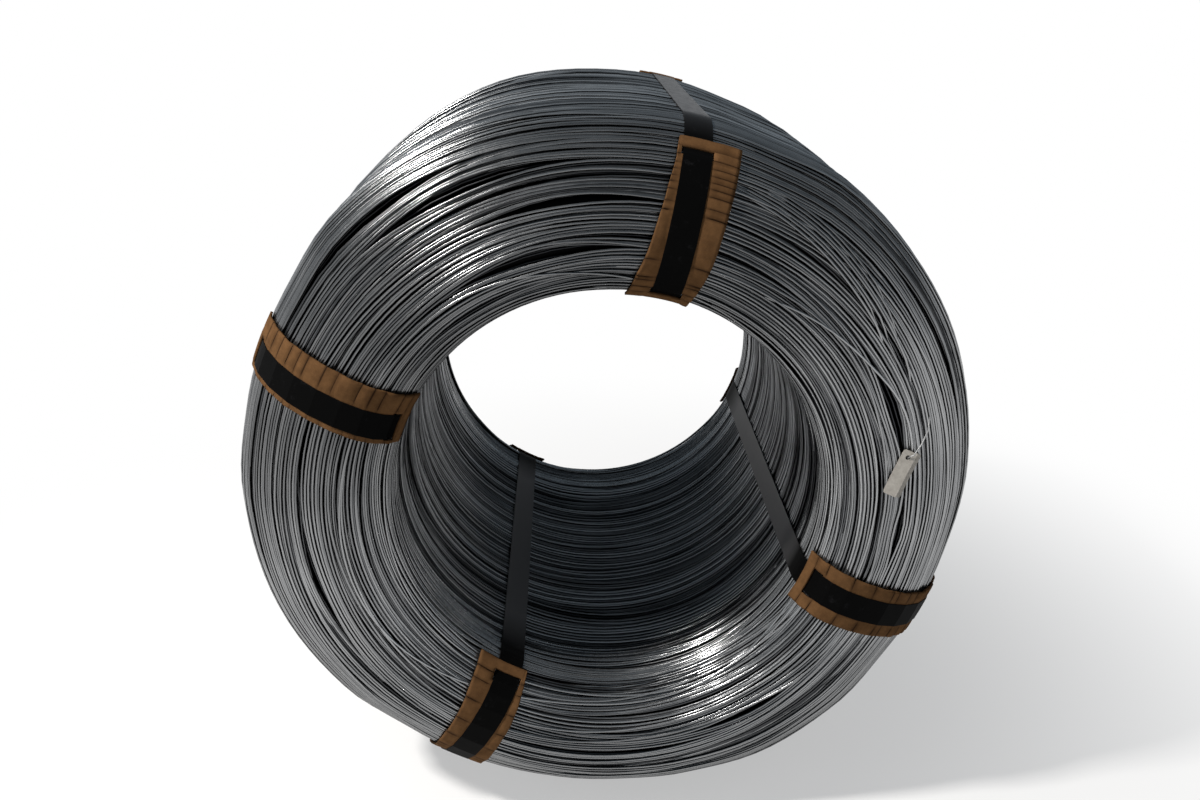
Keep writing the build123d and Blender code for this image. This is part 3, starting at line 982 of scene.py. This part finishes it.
# %% Tie wire
def bent_wire(name, points, thick):
    """A round wire through a few points."""
    heads = [(b - a).normalized() for a, b in zip(points, points[1:])]
    heads = [heads[0]] + [(a + b).normalized() for a, b in zip(heads, heads[1:])] + [heads[-1]]
    bm = bmesh.new()
    tone, rubbed = [bm.verts.layers.float.new(key) for key in ("tone", "rubbed")]
    start = bmesh.ops.create_circle(bm, cap_ends=True, segments=8, radius=thick / 2)["verts"]
    turned = Vector((0, 0, 1)).rotation_difference(heads[0]).to_matrix()
    bmesh.ops.rotate(bm, verts=start, cent=(0, 0, 0), matrix=turned)
    bmesh.ops.translate(bm, verts=start, vec=points[0])
    face = list(bm.faces)[0]
    for a, b, before, after in zip(points, points[1:], heads, heads[1:]):
        made = bmesh.ops.extrude_face_region(bm, geom=[face])["geom"]
        ring = [g for g in made if isinstance(g, bmesh.types.BMVert)]
        face = [g for g in made if isinstance(g, bmesh.types.BMFace)][0]
        bmesh.ops.rotate(bm, verts=ring, cent=a, matrix=before.rotation_difference(after).to_matrix())
        bmesh.ops.translate(bm, verts=ring, vec=b - a)
    bmesh.ops.recalc_face_normals(bm, faces=bm.faces)
    for v in bm.verts:
        # The tie gets none of the painted shade that darkens the sides of the turns.
        v[tone], v[rubbed] = 0.6, 1.0
    mesh = mesh_from(bm, name)
    shade_smooth(mesh)
    ob = put(name, mesh)
    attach(ob, "root")
    print(name, len(mesh.polygons), "faces")
    return ob


hole_left, hole_lift = folded(hole_at)
tie_thick = 0.0016
tie_path = [(0.004, -0.007, -0.0020), (-0.0005, -0.001, -0.0016), (0.0, 0.0, 0.0014), (0.006, -0.0030, 0.0050),
            (0.020, -0.0040, 0.0068), (0.038, -0.0035, 0.0064), (0.052, -0.0025, -0.001)]
tie = bent_wire("hooked_tie", [by_tag(hole_up + up, hole_left + left, hole_lift + lift)
                               for up, left, lift in tie_path], tie_thick)
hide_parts("tag_tie")
tie.data.materials.append(steel("tie_wire", (0.28, 0.28, 0.28, 1), (0.42, 0.42, 0.42, 1), rough=0.6))

# %% [markdown]
# The tag's sheet is off-white, weathered, and neither shiny nor quite matt. One noise with two
# colours gives its stains.

# %% Tag finish
def dull_sheet():
    """Weathered light sheet, greyer and browner in patches."""
    mat = bpy.data.materials.new("dull_sheet")
    t = node_tree(mat)
    stain = noise(t, own_place(t), scale=170.0, detail=5.0, roughness=0.7)
    grey = mix(t, stain, (0.21, 0.19, 0.165, 1), (0.56, 0.535, 0.49, 1))
    surface(t, {"Base Color": grey, "Roughness": 0.6, "Specular IOR Level": 0.25})
    return mat


tag_mesh.materials.append(dull_sheet())
print("tag finish")

# %% [markdown]
# Last, the scene is brought up to date.

# %% Bring the scene up to date
bpy.context.view_layer.update()
